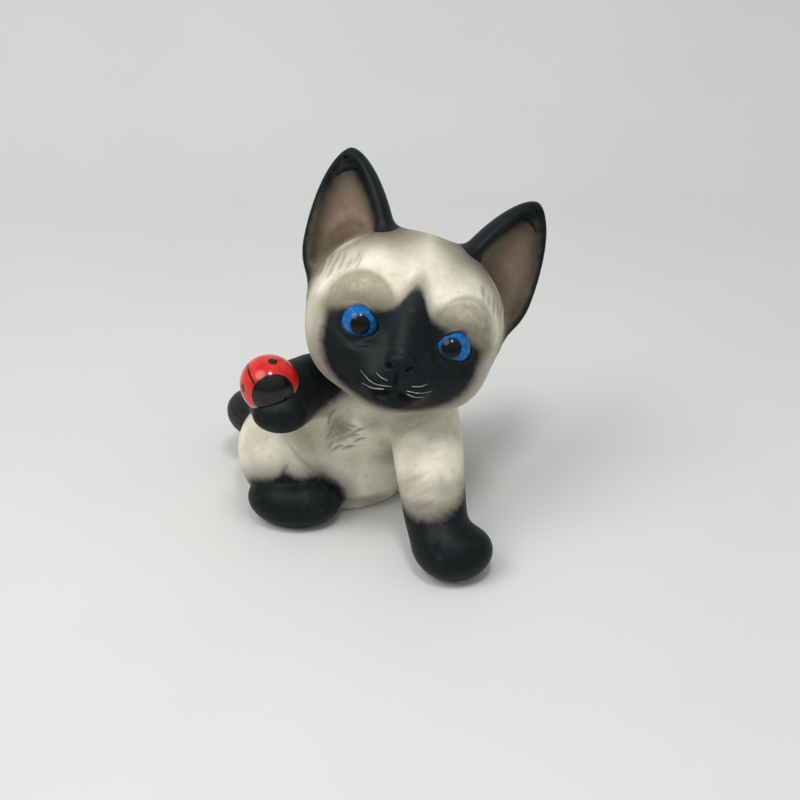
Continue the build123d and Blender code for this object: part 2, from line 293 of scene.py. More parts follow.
def ear_place(p, side):
    """Places in the ear's own frame: +Z up the ear, -Y out of its opening."""
    q = (p - HEAD_AT) @ HEAD_TURN - np.array([SIDES[side] * EAR_AT[0], EAR_AT[1], EAR_AT[2]])
    return q @ EAR_TURN[side]


def ear_fullness(z):
    """Share of the full width up the ear: a waist at the root, nothing at the tip."""
    t = np.clip(z / EAR_LENGTH, -0.4, 1)
    waist = 1 - 0.32 * np.clip((0.25 - t) / 0.45, 0, 1) ** 2
    return waist * np.clip(1 - np.maximum(t, 0) ** 1.6, 0, 1) ** 0.6


def ear_hollow(q, full):
    """Signed distance, near enough, to the wall of the ear's hollow: an oval at each height."""
    wide, deep = (np.maximum(size * full - EAR_DRAWN_IN, 1e-3) for size in EAR_HOLLOW)
    across, along = q[..., 0] / wide, (q[..., 1] + EAR_HOLLOW_SHIFT) / deep
    return 0.8 * (np.hypot(across, along) - 1) * np.minimum(wide, deep)


def ear_form(side):
    """A tall cone with its front sliced off and a second, forward cone hollowed out of it."""
    def form(p):
        q = ear_place(p, side)
        z, full = q[..., 2], ear_fullness(q[..., 2])
        wide, deep = (size * full + 1e-3 for size in EAR_OUTER)
        outer = (np.hypot(q[..., 0] / wide, q[..., 1] / deep) - 1) * np.minimum(wide, deep)
        outer = np.maximum(0.8 * outer, 0.7 * (z - EAR_LENGTH))
        d = cut(outer, q[..., 1] + EAR_FACE, 1.4)
        d = cut(d, cut(ear_hollow(q, full), z, 3.0), 1.4)
        return 0.8 * np.maximum(d, -z - EAR_FOOT)
    return form


# ---------------------------------------------------------------- the figure as a whole
# each piece's form and how softly it runs into what stands before it in this list
FORMS = {
    "torso": (torso_form, 1.0),
    "right_haunch": (haunch_form("right"), 2.5),
    "left_haunch": (haunch_form("left"), 2.5),
    "planted_foreleg": (planted_form, 5.0),
    "raised_foreleg": (raised_form, 5.0),
    "right_hind_paw": (hind_paw_form("right"), 1.5),
    "left_hind_paw": (hind_paw_form("left"), 1.5),
    "tail": (tail_form, 2.5),
    "head": (head_form, 1.5),
    "right_ear": (ear_form("right"), 4.0),
    "left_ear": (ear_form("left"), 4.0),
}
NEIGHBOURS = {
    "torso": ["right_haunch", "left_haunch", "planted_foreleg", "raised_foreleg", "right_hind_paw",
              "left_hind_paw", "tail", "head"],
    "right_haunch": ["torso", "right_hind_paw", "tail", "raised_foreleg"],
    "left_haunch": ["torso", "left_hind_paw"],
    "planted_foreleg": ["torso", "head", "raised_foreleg"],
    "raised_foreleg": ["torso", "head", "planted_foreleg", "right_haunch"],
    "right_hind_paw": ["right_haunch", "torso"],
    "left_hind_paw": ["left_haunch", "torso"],
    "tail": ["torso", "right_haunch"],
    "head": ["torso", "planted_foreleg", "raised_foreleg", "right_ear", "left_ear"],
    "right_ear": ["head"],
    "left_ear": ["head"],
}
TUCK, TUCK_OVER = 0.2, 3.0      # past its seam a piece dips this far under its neighbour, over this width


def clay(p, name):
    """The whole figure's distance near a piece, that piece's own, and the nearest neighbour's."""
    whole = own = other = None
    for part, (form, softness) in FORMS.items():
        if part != name and part not in NEIGHBOURS[name]:
            continue
        d = form(p)
        whole = d if whole is None else blend(whole, d, softness)
        if part == name:
            own = d
        else:
            other = d if other is None else np.minimum(other, d)
    return whole, own, other


def piece_form(name):
    """A piece's skin: the whole figure's skin, dipping under and closing off just past the seams."""
    reach = max(FORMS[n][1] for n in [name] + NEIGHBOURS[name]) / 6 + 0.6

    def form(p):
        whole, own, other = clay(p, name)
        return np.maximum(whole + TUCK * np.clip((own - other) / TUCK_OVER, 0, 1), own - reach)
    return form


def out_to_skin(form, start, ray, room=60.0, steps=30):
    """Where rays that start in the clay leave it: t grows by the distance still to go at each step."""
    t = np.zeros(start.shape[:-1])
    for _ in range(steps):
        t = np.minimum(t - np.clip(form(start + ray * t[..., None]), -4, 4), room)
    return start + ray * t[..., None]


def slope(p, form, step=0.06):
    """The outward unit normal of a form, from four tetrahedral samples."""
    corners = np.array([(1, 1, 1), (1, -1, -1), (-1, 1, -1), (-1, -1, 1)], float)
    g = sum(corner * form(p + corner * step)[..., None] for corner in corners)
    return g / np.maximum(np.linalg.norm(g, axis=-1, keepdims=True), 1e-9)


def capsule_rays(spine, rows, caps, columns, reference):
    """Rays square to a spine along its length, swung round to its direction over each end.

    Rows go from the first end's pole to the last end's pole. A ray is
    cos(tilt) (cos(a) side + sin(a) up) + sin(tilt) along, and the spine's own frame turns with it.
    """
    spine = np.asarray(spine, float)
    lengths = np.concatenate([[0], np.cumsum(np.linalg.norm(np.diff(spine, axis=0), axis=1))])
    along = np.linspace(0, lengths[-1], rows)
    middle_line = np.stack([np.interp(along, lengths, spine[:, i]) for i in range(3)], 1)
    bend = np.gradient(spine, lengths, axis=0)
    direction = np.stack([np.interp(along, lengths, bend[:, i]) for i in range(3)], 1)
    direction /= np.linalg.norm(direction, axis=1, keepdims=True)
    first = np.linspace(-pi / 2, 0, caps[0], endpoint=False)
    last = np.linspace(pi / 2, 0, caps[1], endpoint=False)[::-1]
    tilt = np.concatenate([first, np.zeros(rows), last])
    index = np.concatenate([np.zeros(caps[0], int), np.arange(rows), np.full(caps[1], rows - 1)])
    up = np.cross(direction, np.asarray(reference, float))
    up /= np.linalg.norm(up, axis=1, keepdims=True)
    side = np.cross(up, direction)
    start, axis, up, side = middle_line[index], direction[index], up[index], side[index]
    a = np.linspace(0, 2 * pi, columns, endpoint=False)[None, :, None]
    flat = np.cos(a) * side[:, None] + np.sin(a) * up[:, None]
    tilt = tilt[:, None, None]
    ray = np.cos(tilt) * flat + np.sin(tilt) * axis[:, None]
    return np.broadcast_to(start[:, None], ray.shape), ray


def ear_rays(side, faces=64, rim=12, rows=92, tip=18, root=8):
    """Rays round a crescent: out through the back, round one rim, in through the hollow, round the other.

    The crescent's middle line is x = X sin(a), y = Y + R cos(a), for a within 100 degrees of the back,
    and a ray points square to it. Near the tip, which is solid, the line is nearly straight. Rows climb
    the ear, tilting up over the tip and down under the root.
    """
    low, high = -4.5, EAR_LENGTH - 1.6
    z = np.concatenate([np.full(root, low), np.linspace(low, high, rows), np.full(tip, high)])
    down = np.linspace(-pi / 2, 0, root, endpoint=False)
    up = np.linspace(pi / 2, 0, tip, endpoint=False)[::-1]
    tilt = np.concatenate([down, np.zeros(rows), up])[:, None]
    full = ear_fullness(z)[:, None]
    turning = np.linspace(0, 1, rim + 2)[1:-1]
    across, ones = np.linspace(-1, 1, faces), np.ones(faces)
    s = np.concatenate([across, np.ones(rim), -across, -np.ones(rim)])[None, :]
    swung = np.concatenate([0 * ones, turning, ones, 1 + turning])[None, :]
    cupped = np.clip((full - 0.33) / 0.22, 0, 1)
    sweep = radians(88) + radians(12) * cupped
    a = s * sweep
    wide = 11.3 * full - 0.25
    front = 0.3 - 1.9 * cupped
    back = np.maximum(9.8 * full - 2.45, front + 0.05)
    deep = (back - front) / (1 - np.cos(sweep))
    x, y = wide * np.sin(a), back - deep + deep * np.cos(a)
    bearing = np.arctan2(np.cos(a) * wide, np.sin(a) * deep) - swung * pi
    ray = np.stack([np.cos(tilt) * np.cos(bearing), np.cos(tilt) * np.sin(bearing),
                    np.sin(tilt) + 0 * bearing], -1)
    start = np.stack([x, y, z[:, None] + 0 * x], -1)
    inward = 0.92 * np.hypot(x, y - (back - deep)) + 20 * (1 - cupped)
    room = np.where((swung > 0) & (swung < 2), inward, 60.0)
    root_at = in_head(SIDES[side] * EAR_AT[0], EAR_AT[1], EAR_AT[2])
    turn = HEAD_TURN @ EAR_TURN[side]
    return start @ turn.T + root_at, ray @ turn.T, room


# ---------------------------------------------------------------- engraving: strokes pressed into the clay
ABOVE_FRONT = np.array([0, -0.866, 0.5])     # the way the body's strokes face
HEAD_FRONT = HEAD_TURN @ np.array([0, -1.0, 0])


def stroke_depth(p, points, width, facing, ends=0.35):
    """A groove of bell section along a smooth line: exp(-(d / width)^2), its width drawn in at the ends.

    d is measured square to the way the stroke faces, so that it prints through to the skin.
    """
    line, share = smooth_line(points, np.linspace(0, 1, len(points)), 4)
    best, at = np.full(p.shape[:-1], 1e9), np.zeros(p.shape[:-1])
    flat = p - (p @ facing)[..., None] * facing
    line_flat = line - (line @ facing)[:, None] * facing
    for a, b, sa, sb in zip(line_flat[:-1], line_flat[1:], share[:-1], share[1:]):
        ab = b - a
        t = np.clip(((flat - a) @ ab) / max(ab @ ab, 1e-9), 0, 1)
        d = ((flat - a - t[..., None] * ab) ** 2).sum(-1)
        nearer = d < best
        best, at = np.where(nearer, d, best), np.where(nearer, sa + (sb - sa) * t, at)
    thin = np.clip(np.minimum(at, 1 - at) / ends, 0.25, 1)
    near = np.abs((p - line.mean(0)) @ facing) < 9
    return np.where(near, thin * np.exp(-best / (width * thin) ** 2), 0)


def face_line(*points):
    """Points on the face given as (across, up) in the head's frame, at about the face's depth."""
    return [in_head(x, -16, z) for x, z in points]


FACE_STROKES = [
    # points, width, depth, how much paint gathers in it
    (face_line((0.1, -7.8), (0.2, -10.2), (0.6, -12.6)), 0.45, 0.6, 0.6),
    (face_line((0.6, -12.5), (-1.2, -14.0), (-3.2, -14.5), (-6.0, -13.4)), 0.75, 1.4, 1.0),
    (face_line((0.6, -12.5), (2.0, -13.5), (4.0, -13.9), (6.6, -12.9)), 0.75, 1.4, 1.0),
    (face_line((-1.1, -7.7), (-2.3, -7.6), (-2.8, -6.4)), 0.5, 0.9, 1.0),
    (face_line((1.4, -7.5), (2.6, -7.1), (3.0, -5.9)), 0.5, 0.9, 1.0),
    (face_line((-20, 3.2), (-18.6, 7.8), (-15.5, 10.8), (-12, 11.7), (-8, 10.4), (-5.4, 7.8), (-4.3, 5)),
     0.6, 0.4, 0.5),
    (face_line((20.2, 3.5), (19.2, 8), (17, 10.9), (13.7, 12.3), (10.4, 11.8), (7.6, 9.9), (6.2, 6.6)),
     0.7, 0.4, 0.5),
    (face_line((-15, -3.4), (-11.5, -5.0), (-7.4, -4.2)), 0.9, 0.3, 0.1),
    (face_line((15, -3.0), (11.5, -4.8), (7.4, -4.0)), 0.9, 0.3, 0.1),
]
BODY_STROKES = [
    ([(-9.6, -10.7, 35.1), (-6, -9.8, 30.9), (-1.2, -8.6, 27.6), (5, -13.8, 30.4), (9.8, -14, 32.5)],
     1.3, 0.5, 0.25),
    ([(4.0, -20.8, 19.0), (5.6, -22.6, 20.6), (8.5, -23.9, 22.7), (12.4, -23.4, 25.0)], 0.65, 0.55, 0.45),
    ([(5.2, -25.8, 17.0), (9.0, -26.6, 19.6), (12.6, -25.8, 21.6)], 0.6, 0.35, 0.3),
    ([(6.0, -27.8, 15.2), (9.7, -28.9, 17.4), (14.0, -27.5, 20.0)], 0.6, 0.35, 0.3),
    ([(5.0, -26.7, 12.9), (7.3, -28.9, 15.1), (9.6, -29.5, 16.9)], 0.6, 0.35, 0.35),
    ([(-24.4, -5.9, 22.2), (-21.1, -8.2, 18.9), (-16.8, -8.0, 14.1), (-12.0, -9.7, 8.6)], 0.8, 0.5, 0.3),
    ([(-21.2, -8.8, 17.6), (-17.3, -8.7, 12.1), (-14.2, -10.5, 9.3)], 0.5, 0.35, 0.3),
    ([(-14.6, -7.1, 12.9), (-11.4, -7.5, 8.3), (-9.4, -7.4, 3.6)], 0.55, 0.4, 0.3),
    ([(-26.6, -9.0, 12.5), (-25.0, -9.2, 15.0), (-23.6, -8.9, 17.9)], 0.6, 0.35, 0.5),
    ([(13.4, -35.0, 12.4), (12.6, -36.6, 10.0), (14.6, -37.4, 8.0)], 0.8, 0.4, 0.0),
]
# soft drifts of brown over the body: broad strokes of paint with no depth, partly airbrushed brown and partly
# painted shade under the chin, on the chest beside the raised foreleg, along the creases of the planted
# foreleg and in front of the right haunch, and in the band along the belly's undercut
BODY_AIRBRUSH_AND_SHADE = [
    ([(-14.0, -8.0, 31.0), (-11.0, -8.0, 27.5), (-7.0, -8.0, 25.0)], 3.6, 0.0, 0.75),
    ([(-8.5, -9.8, 33.5), (-4.0, -9.0, 29.5), (3.0, -12.0, 29.5), (12.0, -14.0, 33.0)], 2.6, 0.0, 0.42),
    ([(3.0, -18.0, 16.5), (6.0, -23.0, 20.5), (11.0, -23.4, 23.5)], 2.4, 0.0, 0.45),
    ([(-22.0, -8.5, 19.0), (-16.5, -8.5, 13.5), (-11.0, -9.0, 7.0)], 1.8, 0.0, 0.28),
    ([(-11.0, -7.7, 4.2), (-4.0, -6.0, 4.2), (3.0, -4.0, 4.2)], 1.6, 0.0, 0.50),
    ([(3.0, -25.0, 17.0), (8.0, -29.0, 18.0), (14.0, -30.0, 18.0), (19.0, -25.0, 19.0)], 3.2, 0.0, 0.65),
    ([(4.0, -20.0, 19.0), (8.0, -25.0, 20.5), (14.0, -26.0, 21.0), (19.0, -22.0, 20.0)], 3.4, 0.0, 0.50),
    ([(-6.0, -8.0, 24.0), (2.0, -10.0, 25.0), (7.0, -15.0, 26.0)], 4.0, 0.0, 0.30),
]
# short hairs pressed into the chest: middle, lean in degrees, length
CHEST_HAIRS = [(-12.6, 30.2, 60, 3.4), (-13.4, 28.4, 72, 2.6), (-11.6, 28.6, 40, 3.2), (-12.8, 26.6, 55, 2.8),
               (-11.0, 26.8, 20, 3.0), (-13.6, 24.4, 62, 3.0), (-12.0, 24.6, 35, 3.2), (-9.8, 25.6, 5, 3.4),
               (-8.6, 27.0, -12, 3.6), (-10.4, 23.2, 20, 3.2), (-8.0, 24.2, 8, 3.2), (-6.4, 25.6, 25, 3.8),
               (-13.2, 21.8, 50, 2.8), (-11.6, 20.8, 30, 3.0), (-9.0, 20.8, 15, 3.0), (-6.0, 23.0, 22, 3.0)]


def chest_hairs():
    """Each short hair as a stroke on the chest."""
    strokes = []
    for x, z, lean, length in CHEST_HAIRS:
        step = 0.9 * length * np.array([cos(radians(lean)), 0, sin(radians(lean))])
        bow = 0.5 * np.array([-sin(radians(lean)), 0, cos(radians(lean))])
        at = np.array([x, -7.8, z])
        strokes.append(([at - step, at + bow, at + step], 0.34, 0.4, 0.8))
    return strokes


def ear_hairs():
    """Hairs that run from each ear's opening down to the temple, as strokes on the head."""
    strokes = []
    for s in SIDES.values():
        for i in range(9):
            x = 14.5 + 1.15 * i + 0.5 * sin(5.0 * i)
            top, foot = 16.8 - 0.45 * i + 1.2 * sin(2.3 * i), 11.4 - 0.7 * i + 1.6 * sin(3.7 * i + s)
            strokes.append(([in_head(s * x, -6, top), in_head(s * (x + 0.4), -7, (top + foot) / 2),
                             in_head(s * (x + 1.2), -8, foot)], 0.38, 0.25, 0.5))
    return strokes


def engraving(p, strokes, facing):
    """How deep the strokes are pressed at a place, and how much paint lies in them; for the body's drifts
    that paint is partly painted shade.
    """
    depth, paint = np.zeros(p.shape[:-1]), np.zeros(p.shape[:-1])
    for points, width, deep, tint in strokes:
        d = stroke_depth(p, points, width, facing)
        depth = np.maximum(depth, deep * d)
        paint = np.maximum(paint, tint * d)
    return depth, paint


# ---------------------------------------------------------------- airbrushed paint
def oval(x, z, at, radii):
    """Signed distance, near enough, to an oval in a plane."""
    return (np.hypot((x - at[0]) / radii[0], (z - at[1]) / radii[1]) - 1) * min(radii)


def mask_edge(q):
    """Distance outside the dark mask, over its softness: a low oval under a brow line with a middle peak."""
    x, z = q[..., 0], q[..., 2]
    top = z - (4.6 - 0.0095 * x * x + 6.9 * np.exp(-(((x + 0.3) / 3.3) ** 2)))
    low = oval(x, np.minimum(z, -4.2), (-0.3, -4.2), (18.7, 13.3))
    edge = -blend(-low, -0.8 * top, 1.2)
    return np.maximum(edge, (q[..., 1] + 2) / 1.2)


def liner_edge(q):
    """Distance outside the dark line round each eye's opening."""
    front = q.copy()
    front[..., 1] = -20
    return np.maximum((eye_opening(front) - 0.7) / 0.5, (q[..., 1] + 8) / 2)


def brow_tan(q):
    """How much tan lies on each brow: full inside an oval over the eye, fading out across its edge."""
    x, z = np.abs(q[..., 0]), q[..., 2]
    d = oval(x, z, (12.2, 3.6), (8.4, 8.0))
    return np.clip(0.5 - d / 2.2, 0, 1) * (q[..., 1] < 0)


def lining_edge(p, side):
    """Distance inside the light lining of an ear, an oval on the hollow nearer its outer rim; and the
    places in the ear's frame.
    """
    q = ear_place(p, side)
    full = ear_fullness(q[..., 2])
    x = q[..., 0] * SIDES[side] - 1.2
    inside = 5.0 * (1 - np.hypot(x / (6.3 * full + 0.5), np.maximum(q[..., 2] - 8, 0) / 12.5))
    return np.minimum(inside, 1.6 * (1.0 - ear_hollow(q, full))), q


def body_edge(p):
    """Distance outside the dark paws, raised foreleg and tail, over the softness of each edge."""
    x, z = p[..., 0], p[..., 2]
    raised = np.maximum(0.48 * (x + 18) - 0.88 * (z - 33.5), x + 9.5)
    raised = np.maximum(raised, raised_form(p) - 1.8) / 1.7
    planted = np.maximum(z - 16.0 - 0.2 * (x - 11), planted_form(p) - 2.0) / 1.6
    hind = FORMS["right_hind_paw"][0](p) - 1.2 - 1.8 * np.exp(-(((x + 25) / 2.4) ** 2))
    hind = np.minimum(hind, FORMS["left_hind_paw"][0](p) - 1.2) / 1.2
    tail = (tail_form(p) - 1.2) / 1.2
    return np.minimum(np.minimum(raised, planted), np.minimum(hind, tail))


def paint_head(p):
    """Where the head is dark, tan, lined or tinted, and how deep its strokes are.

    It agrees with the raised foreleg and with the ears at their seams: round an ear's root the head is
    dark, except where the ear's own lining runs out over it.
    """
    q = (p - HEAD_AT) @ HEAD_TURN
    depth, tint = engraving(p, FACE_STROKES + ear_hairs(), HEAD_FRONT)
    edge = np.minimum(np.minimum(mask_edge(q), liner_edge(q)), body_edge(p))
    root, seam = np.zeros(edge.shape), np.zeros(edge.shape)
    for side in SIDES:
        lining = lining_edge(p, side)[0]
        own = FORMS[side + "_ear"][0](p) - 0.6
        edge = np.minimum(edge, np.maximum(own / 1.5, lining / 1.6 + 0.6))
        away = np.maximum(own, 0)
        root = np.maximum(root, 0.85 * np.exp(-((away / 3.4) ** 2)))
        seam = np.maximum(seam, np.clip(lining / 1.5 + 0.5, 0, 1) * np.exp(-((away / 1.8) ** 2)))
    return {"edge": edge, "tan": np.maximum(brow_tan(q), root), "deep": tint, "lining": seam}, depth


def paint_ear(side):
    """The paint of one ear."""
    def paint(p):
        """Dark outside and round the rim, light in the hollow, with a fold near its foot pressed in and
        painted brown as painted shade.
        """
        lining, q = lining_edge(p, side)
        depth, tint = engraving(p, ear_hairs(), HEAD_FRONT)
        x, z = q[..., 0] * SIDES[side], q[..., 2]
        fold = np.exp(-(((z - 7.5 + 0.10 * (x - 1) ** 2) / 1.9) ** 2)) * np.clip(lining / 2, 0, 1)
        ridge = np.exp(-(((z - 12.5 + 0.10 * (x - 1) ** 2) / 1.6) ** 2)) * np.clip(lining / 2, 0, 1)
        # the fold's brown is painted shade in the recess at the foot of the hollow
        tint = np.maximum(tint, 0.95 * fold)
        return {"edge": lining / 1.6 + 0.5, "tan": 0 * lining, "lining": np.clip((z + 6) / 5, 0, 1),
                "deep": tint}, np.where(q[..., 1] < 4.5, depth + 0.8 * fold - 0.7 * ridge, 0)
    return paint


def paint_body(p):
    """Where the body and legs are dark or tinted, and how deep their strokes are."""
    depth, tint = engraving(p, BODY_STROKES + BODY_AIRBRUSH_AND_SHADE + chest_hairs(), ABOVE_FRONT)
    return {"edge": body_edge(p), "tan": 0 * tint, "deep": tint}, depth


# ---------------------------------------------------------------- meshes and finishes
def drawn(name, points, values=None, weld=False):
    """A closed mesh from a grid of points, rows by columns, the columns joined end to end.

    The first and last rows are single points, or with weld they are folded shut, point on point.
    Every value given per point becomes an attribute, and faces point outwards.
    """
    rows, columns = points.shape[:2]
    number = np.arange(rows * columns).reshape(rows, columns)
    if not weld:
        number[0], number[-1] = number[0, 0], number[-1, 0]
    right = np.roll(number, -1, axis=1)
    quads = np.stack([number[:-1], right[:-1], right[1:], number[1:]], -1).reshape(-1, 4)
    kept = np.unique(quads)
    renumber = np.zeros(rows * columns, int)
    renumber[kept] = np.arange(len(kept))
    quads = renumber[quads]
    flat = (points.reshape(-1, 3)[kept] + PLACE) * MM
    a, b, c, d = (flat[quads[:, i]] for i in range(4))
    volume = (np.cross(b - a, c - a) * a).sum() + (np.cross(c - a, d - a) * a).sum()
    first, last = quads[:columns], quads[-columns:]
    triangles = np.zeros((0, 3), int)
    if not weld:
        triangles = np.concatenate([first[:, 1:], last[:, :3]])
        quads = quads[columns:-columns]
    if volume < 0:
        quads, triangles = quads[:, ::-1], triangles[:, ::-1]
    mesh = bpy.data.meshes.new(name)
    mesh.from_pydata(flat.tolist(), [], quads.tolist() + triangles.tolist())
    for key, value in (values or {}).items():
        kind = "FLOAT_VECTOR" if value.ndim == 3 else "FLOAT"
        field = "vector" if value.ndim == 3 else "value"
        data = value.reshape(rows * columns, -1)[kept]
        mesh.attributes.new(key, kind, "POINT").data.foreach_set(field, data.astype(np.float32).ravel())
    if weld:
        welded = bmesh.new()
        welded.from_mesh(mesh)
        bmesh.ops.remove_doubles(welded, verts=welded.verts, dist=0.002 * MM)
        welded.to_mesh(mesh)
        welded.free()
    mesh.polygons.foreach_set("use_smooth", np.ones(len(mesh.polygons), bool))
    mesh.update()
    if mesh.validate():
        raise RuntimeError(f"{name} has faces that don't join up")
    piece = bpy.data.objects.new(name, mesh)
    bpy.context.collection.objects.link(piece)
    return piece


def on_frame(piece, finish, slot, *nodes):
    """The piece gets its finish, rides the figure and stands for its clay pieces."""
    piece.data.materials.append(finish)
    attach(piece, "root")
    if nodes:
        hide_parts(*nodes)


def carved(name, start, ray, paint, room=60.0, weld=False):
    """One piece's skin: rays run out to it, then the strokes are pressed in along its normals."""
    form = piece_form(name)
    points = out_to_skin(form, start, ray, room)
    values, depth = paint(points)
    whole = lambda p: clay(p, name)[0]
    normal = slope(points, whole)
    on_skin = np.clip(1 - np.abs(whole(points)) / 0.15, 0, 1)
    points = points - normal * (depth * on_skin)[..., None]
    points[..., 2] = np.maximum(points[..., 2], 0)
    return drawn("skin_" + name, points, values, weld=weld)


class Finish:
    """A node material under construction."""

    def __init__(self, name):
        self.material = bpy.data.materials.get(name) or bpy.data.materials.new(name)
        self.material.use_nodes = True
        self.nodes, self.links = self.material.node_tree.nodes, self.material.node_tree.links
        self.nodes.clear()
        output = self.nodes.new("ShaderNodeOutputMaterial")
        self.shader = self.nodes.new("ShaderNodeBsdfPrincipled")
        self.join(self.shader.outputs[0], output.inputs["Surface"])

    def join(self, source, socket):
        self.links.new(source, socket)

    def attribute(self, name, output="Fac"):
        node = self.nodes.new("ShaderNodeAttribute")
        node.attribute_name = name
        return node.outputs[output]

    def noise(self, size_mm, detail=3.0, stretch=(1, 1, 1)):
        """Noise on the object's own coordinates, its features about size_mm across."""
        place = self.nodes.new("ShaderNodeTexCoord")
        mapping = self.nodes.new("ShaderNodeMapping")
        mapping.inputs["Scale"].default_value = [s / (size_mm * MM) for s in stretch]
        texture = self.nodes.new("ShaderNodeTexNoise")
        texture.inputs["Scale"].default_value = 1.0
        texture.inputs["Detail"].default_value = detail
        self.join(place.outputs["Object"], mapping.inputs["Vector"])
        self.join(mapping.outputs[0], texture.inputs["Vector"])
        return texture.outputs["Fac"]

    def math(self, operation, *values, clamp=False):
        node = self.nodes.new("ShaderNodeMath")
        node.operation, node.use_clamp = operation, clamp
        for socket, value in zip(node.inputs, values):
            if isinstance(value, (int, float)):
                socket.default_value = value
            else:
                self.join(value, socket)
        return node.outputs[0]

    def ramp(self, value, low, high, to_low=0.0, to_high=1.0):
        """A smooth step from to_low at low to to_high at high."""
        node = self.nodes.new("ShaderNodeMapRange")
        node.interpolation_type = "SMOOTHSTEP"
        for name, number in (("From Min", low), ("From Max", high), ("To Min", to_low), ("To Max", to_high)):
            node.inputs[name].default_value = number
        self.join(value, node.inputs["Value"])
        return node.outputs["Result"]

    def mix(self, share, a, b, way="MIX"):
        """Colour a where share is 0 and b where it is 1."""
        node = self.nodes.new("ShaderNodeMix")
        node.data_type, node.blend_type = "RGBA", way
        self._put(node.inputs[0], share)
        self._put(node.inputs[6], a)
        self._put(node.inputs[7], b)
        return node.outputs[2]

    def _put(self, socket, value):
        if isinstance(value, bpy.types.NodeSocket):
            self.join(value, socket)
        elif isinstance(value, (int, float)):
            socket.default_value = value
        else:
            socket.default_value = (*tuple(value)[:3], 1)

    def bump(self, height, strength, distance_mm):
        node = self.nodes.new("ShaderNodeBump")
        node.inputs["Strength"].default_value = strength
        node.inputs["Distance"].default_value = distance_mm * MM
        self.join(height, node.inputs["Height"])
        self.join(node.outputs[0], self.shader.inputs["Normal"])


def bisque(name):
    """Matt fired clay: mottled cream, tan patches, brown in the strokes, brown drifts that are partly
    airbrush and partly painted shade, painted shade in the ears' folds, airbrushed blue-black points.
    """
    got = bpy.data.materials.get(name)
    if got:
        return got
    paint = bpy.context.scene.kitten
    f = Finish(name)
    cloud, grain, fine = f.noise(9), f.noise(1.6), f.noise(0.35, 2)
    edge, tan, deep, lining = (f.attribute(name) for name in ("edge", "tan", "deep", "lining"))
    ragged = f.math("ADD", edge, f.math("MULTIPLY", f.math("SUBTRACT", grain, 0.5), 0.9))
    ragged = f.math("ADD", ragged, f.math("MULTIPLY", f.math("SUBTRACT", fine, 0.5), 0.5))
    cover = f.ramp(ragged, 1.0, -1.0)
    halo = f.ramp(ragged, 4.5, 0.2)
    cream = f.mix(f.ramp(cloud, 0.35, 0.65), paint.cream, paint.cream_shade)
    cream = f.mix(f.math("MULTIPLY", f.ramp(grain, 0.5, 0.75), 0.25), cream, paint.tan)
    cream = f.mix(f.math("MULTIPLY", tan, f.ramp(grain, 0.2, 0.7, 0.75, 1.0)), cream, paint.tan)
    cream = f.mix(f.math("MULTIPLY", lining, f.ramp(grain, 0.2, 0.7, 0.85, 1.0)), cream,
                  f.mix(f.ramp(cloud, 0.4, 0.6), paint.lining, paint.lining_pink))
    cream = f.mix(f.math("MULTIPLY", halo, 0.6), cream, paint.brown)
    specks = f.math("MULTIPLY", f.ramp(f.noise(0.22, 1), 0.68, 0.76), 0.05)
    cream = f.mix(specks, cream, paint.brown)
    # brown gathered in the strokes, and brown drifts that are partly airbrush and partly painted shade under
    # the chin, along the creases and at the belly's undercut, with painted shade in the ears' folds; on the
    # dark points the same mark goes near black
    cream = f.mix(f.math("MULTIPLY", deep, 0.85), cream, paint.brown)
    dark = f.mix(f.ramp(cloud, 0.3, 0.7), paint.dark, paint.dark_blue)
    dark = f.mix(f.math("MULTIPLY", f.ramp(grain, 0.45, 0.8), 0.35), dark, paint.dark_grey)
    dark = f.mix(f.math("MULTIPLY", deep, 0.9), dark, (0.004, 0.004, 0.005))
    f.join(f.mix(cover, cream, dark), f.shader.inputs["Base Color"])
    uneven = f.math("MULTIPLY", f.math("SUBTRACT", grain, 0.5), 0.12)
    rough = f.math("ADD", f.ramp(cover, 0, 1, 0.62, 0.46), uneven)
    f.join(rough, f.shader.inputs["Roughness"])
    f.shader.inputs["Specular IOR Level"].default_value = 0.14
    height = f.math("ADD", f.math("MULTIPLY", grain, 0.6), f.math("MULTIPLY", fine, 0.4))
    f.bump(height, 0.35, 0.12)
    return f.material


